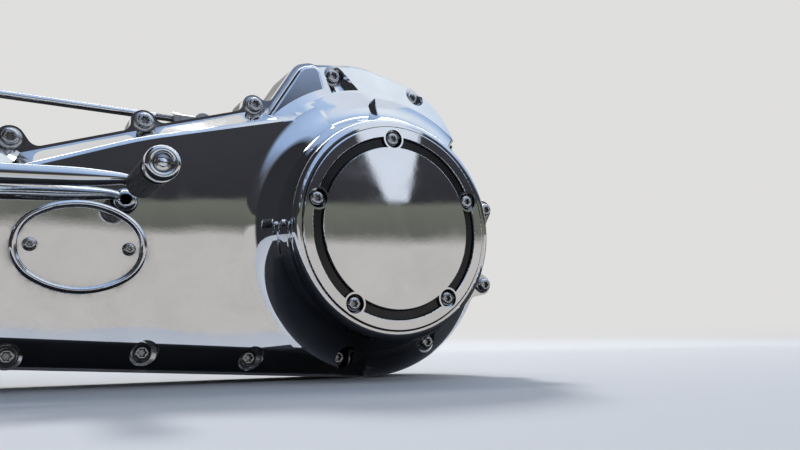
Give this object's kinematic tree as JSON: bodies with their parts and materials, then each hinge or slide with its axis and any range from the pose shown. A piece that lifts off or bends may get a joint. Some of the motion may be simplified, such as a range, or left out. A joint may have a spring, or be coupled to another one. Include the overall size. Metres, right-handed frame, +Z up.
{
  "type": "motorcycle primary drive case with foot gear shift",
  "caption": "Left-side primary drive case of a motor trike: polished cover with round clutch cover and starter hump, black inner case, and a heel-and-toe gear shift with its rod.",
  "frame": {"origin": "crankshaft axis in the mating face of the inner case against the engine", "axes": "+X to the rear of the vehicle, +Y inboard towards the engine, +Z up"},
  "size_m": [0.6425, 0.191, 0.2613],
  "materials": {
    "cover_chrome": "mirror-polished chrome on cast aluminium, light wear round the bolts",
    "clutch_cover_chrome": "mirror-polished chrome, flat machined centre",
    "case_black": "black wrinkle coating on a sand-cast aluminium case, machined joint faces",
    "gasket_fibre": "dark coated fibre gasket",
    "seal_rubber": "black moulded rubber",
    "bolt_steel": "polished steel heads with star sockets",
    "bearing_steel": "ground steel",
    "bushing_bronze": "plain sintered bronze",
    "lever_chrome": "bright chrome on forged steel",
    "peg_rubber": "black ribbed rubber, slightly dusty",
    "rod_chrome": "chrome-plated steel rod",
    "zinc_steel": "zinc-plated steel"
  },
  "bodies": {
    "case": {"outer_cover": "cover_chrome", "inner_case": "case_black", "cover_gasket": "gasket_fibre", "cover_bolts": "bolt_steel", "clutch_cover": "clutch_cover_chrome", "clutch_cover_seal": "seal_rubber", "clutch_cover_screws": "bolt_steel", "inspection_cover": "cover_chrome", "inspection_gasket": "gasket_fibre", "inspection_screws": "bolt_steel", "mainshaft_bearing": "bearing_steel", "shaft_bushings": "bushing_bronze"},
    "gear_shift": {"shift_shaft": "bearing_steel", "heel_lever": "lever_chrome", "toe_lever": "lever_chrome", "heel_peg_stud": "lever_chrome", "heel_peg_rubber": "peg_rubber", "toe_peg_stud": "lever_chrome", "toe_peg_rubber": "peg_rubber", "inner_shift_arm": "zinc_steel"},
    "shift_linkage": {"shift_rod": "rod_chrome", "front_rod_end": "zinc_steel", "rear_rod_end": "zinc_steel", "rod_jam_nuts": "zinc_steel"}
  },
  "joints": [
    {"name": "shift_pivot", "type": "hinge", "parent": "case", "child": "gear_shift", "pos_m": [-0.062, 0, 0.055], "axis": [0, 1, 0], "range_deg": [-10, 10]},
    {"name": "rod_pivot", "type": "hinge", "parent": "gear_shift", "child": "shift_linkage", "pos_m": [-0.052, 0, 0.116], "axis": [0, 1, 0], "range_deg": [-10.5, 10.5]}
  ],
  "couplings": [
    {"joint": "rod_pivot", "follows": "shift_pivot", "ratio": -1}
  ]
}
